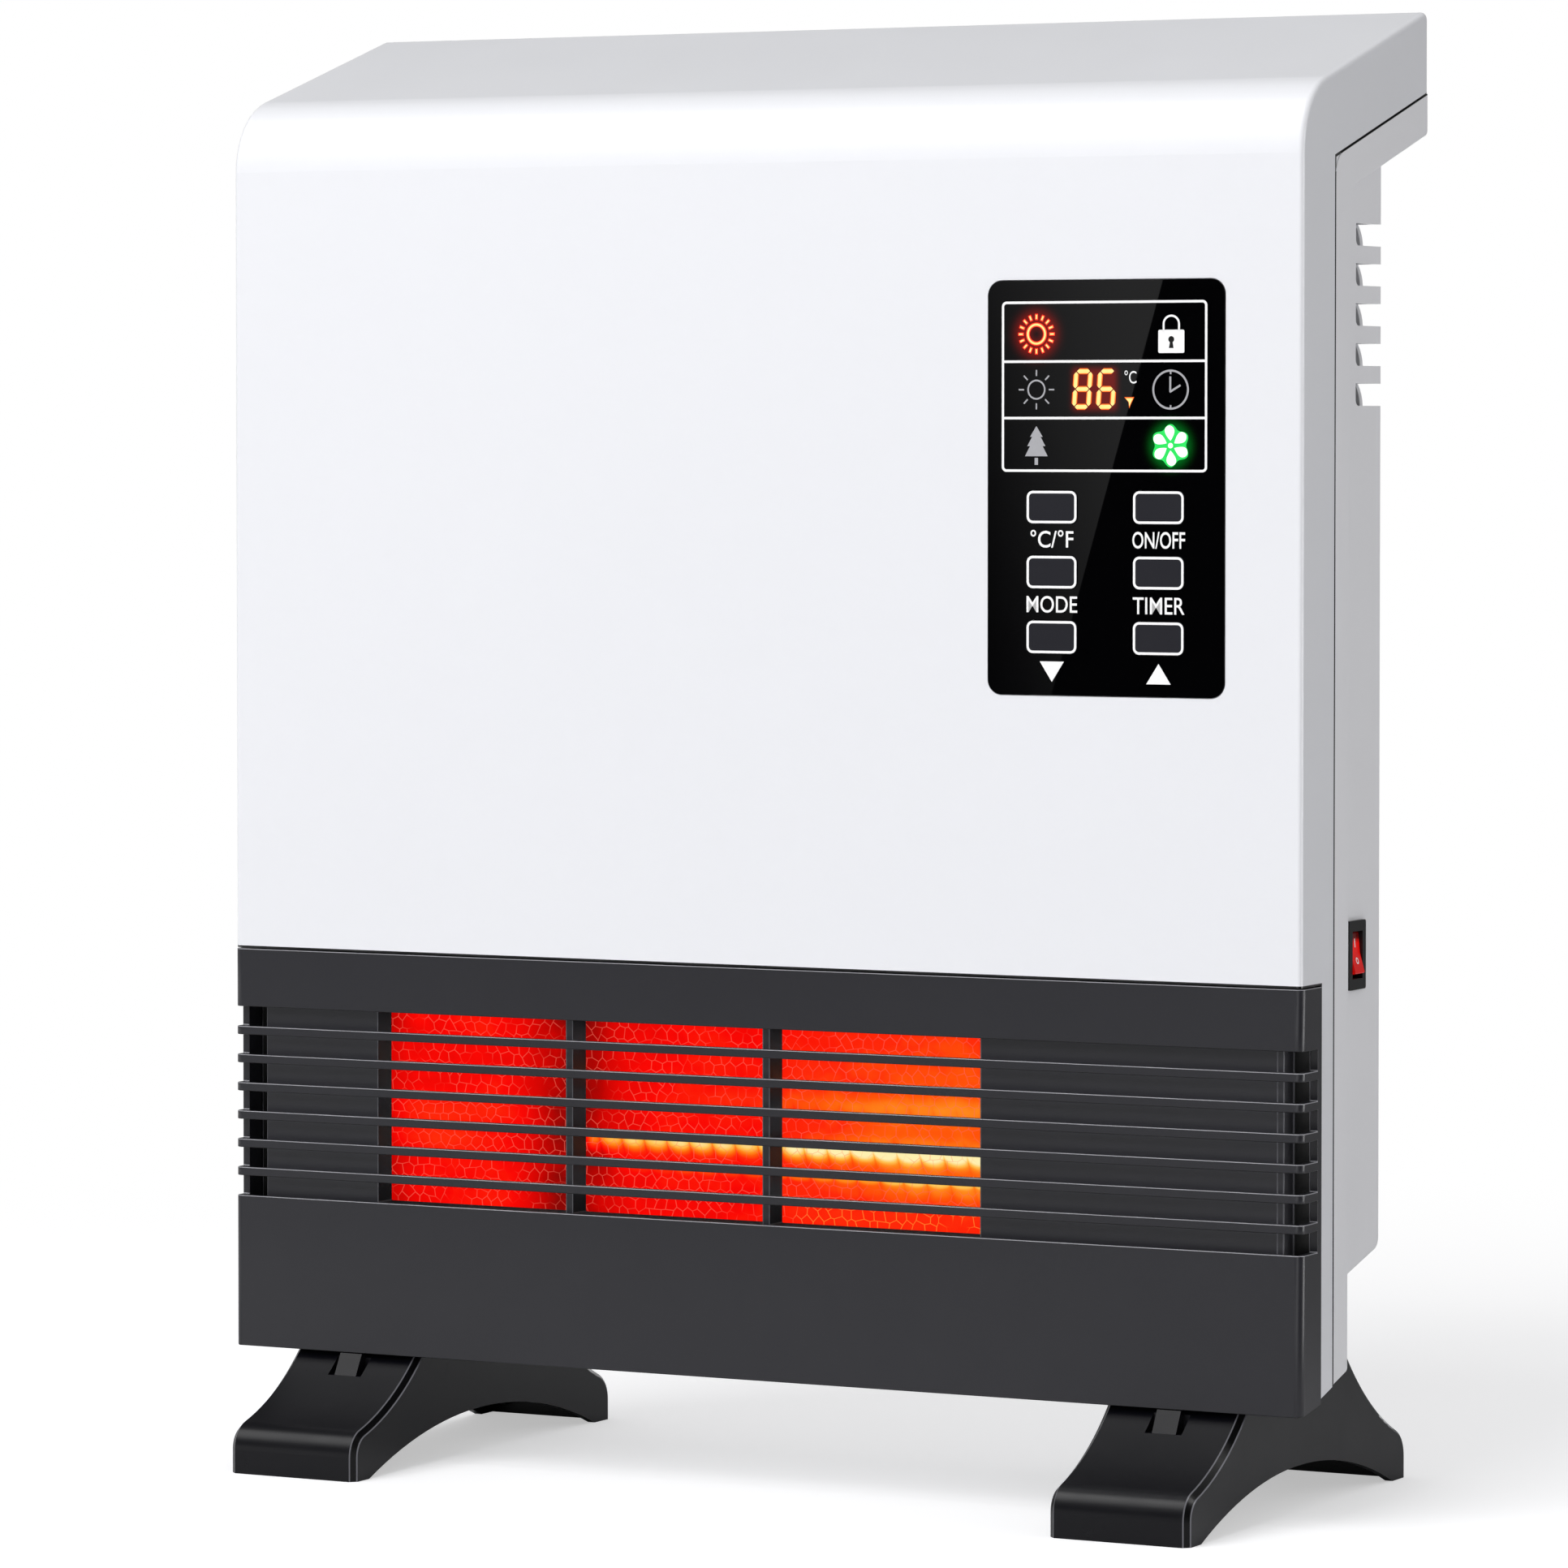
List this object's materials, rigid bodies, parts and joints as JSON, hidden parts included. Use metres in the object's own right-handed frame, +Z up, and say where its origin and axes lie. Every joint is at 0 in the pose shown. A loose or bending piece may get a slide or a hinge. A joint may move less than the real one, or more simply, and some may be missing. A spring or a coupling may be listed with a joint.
{
  "type": "infrared panel heater",
  "caption": "Free-standing hooded panel heater with a louvred front grille over a glowing quartz window, a touch panel, a side power switch, a rear vented housing and arched feet.",
  "frame": {"origin": "on the floor under the middle of the whole heater", "axes": "+Z up, +Y from the front face to the back, +X to the right seen from the front"},
  "size_m": [0.37, 0.163, 0.4537],
  "materials": {
    "cover_white": "satin moulded plastic",
    "shell_grey": "fine textured plastic",
    "bezel_charcoal": "satin moulded plastic",
    "foot_black": "fine textured plastic",
    "panel_gloss": "high gloss",
    "key_black": "gloss",
    "display_lens": "smoked lens",
    "rocker_red": "translucent red",
    "switch_black": "satin",
    "screen_glow": "glowing enamelled mesh",
    "sheet_steel": "galvanised",
    "ceramic_white": "unglazed ceramic",
    "quartz": "clear",
    "filament_wire": "oxidised wire",
    "reflector_bright": "polished",
    "fan_alloy": "rolled",
    "shaft_steel": "ground",
    "bearing_bronze": "sintered",
    "core_steel": "laminated",
    "coil_copper": "enamelled wire",
    "board_green": "solder mask",
    "part_black": "moulded",
    "blade_brass": "plain",
    "screw_steel": "zinc plated"
  },
  "bodies": {
    "root": {"front_cover": "cover_white", "back_frame": "shell_grey", "rear_housing": "shell_grey", "grille_bezel": "bezel_charcoal", "louvre_backplate": "bezel_charcoal", "honeycomb_screen": "screen_glow", "control_overlay": "panel_gloss", "display_module": "display_lens", "switch_body": "switch_black", "switch_tabs": "blade_brass", "foot_left": "foot_black", "foot_right": "foot_black", "quartz_tube_upper": "quartz", "quartz_tube_lower": "quartz", "filaments": "filament_wire", "tube_caps": "ceramic_white", "tube_bracket_left": "sheet_steel", "tube_bracket_right": "sheet_steel", "reflector": "reflector_bright", "heater_box": "sheet_steel", "thermal_cutout": "part_black", "fan_scroll": "sheet_steel", "fan_bush": "bearing_bronze", "motor_stator": "core_steel", "motor_coil": "coil_copper", "motor_bracket": "sheet_steel", "motor_screws": "screw_steel", "control_board": "board_green", "tact_switches": "part_black", "board_screws": "screw_steel", "power_board": "board_green", "power_parts": "part_black", "terminal_block": "ceramic_white", "cord_bush": "switch_black", "tip_switch": "sheet_steel", "foot_screws": "screw_steel", "housing_screws": "screw_steel", "cover_screws": "screw_steel"},
    "rocker": {"switch_rocker": "rocker_red"},
    "fan": {"fan_rotor": "fan_alloy", "fan_shaft": "shaft_steel", "motor_rotor": "core_steel"},
    "tip_weight": {"tip_pendulum": "sheet_steel"},
    "key_unit_body": {"key_unit": "key_black"},
    "key_power_body": {"key_power": "key_black"},
    "key_mode_body": {"key_mode": "key_black"},
    "key_timer_body": {"key_timer": "key_black"},
    "key_down_body": {"key_down": "key_black"},
    "key_up_body": {"key_up": "key_black"}
  },
  "joints": [
    {"name": "power_rocker", "type": "hinge", "parent": "root", "child": "rocker", "pos_m": [0.1787, 0.0009, 0.169], "axis": [0, 1, 0], "range_deg": [0, 20]},
    {"name": "fan_spin", "type": "hinge", "parent": "root", "child": "fan", "pos_m": [0, -0.0025, 0.205], "axis": [1, 0, 0], "continuous": true},
    {"name": "tip_swing", "type": "hinge", "parent": "root", "child": "tip_weight", "pos_m": [0.0934, -0.0145, 0.135], "axis": [1, 0, 0], "range_deg": [-25, 25]},
    {"name": "key_unit_press", "type": "slide", "parent": "root", "child": "key_unit_body", "axis": [0, 1, 0], "range_m": [0, 0.0006], "stiffness_N_per_m": 2500},
    {"name": "key_power_press", "type": "slide", "parent": "root", "child": "key_power_body", "axis": [0, 1, 0], "range_m": [0, 0.0006], "stiffness_N_per_m": 2500},
    {"name": "key_mode_press", "type": "slide", "parent": "root", "child": "key_mode_body", "axis": [0, 1, 0], "range_m": [0, 0.0006], "stiffness_N_per_m": 2500},
    {"name": "key_timer_press", "type": "slide", "parent": "root", "child": "key_timer_body", "axis": [0, 1, 0], "range_m": [0, 0.0006], "stiffness_N_per_m": 2500},
    {"name": "key_down_press", "type": "slide", "parent": "root", "child": "key_down_body", "axis": [0, 1, 0], "range_m": [0, 0.0006], "stiffness_N_per_m": 2500},
    {"name": "key_up_press", "type": "slide", "parent": "root", "child": "key_up_body", "axis": [0, 1, 0], "range_m": [0, 0.0006], "stiffness_N_per_m": 2500}
  ]
}
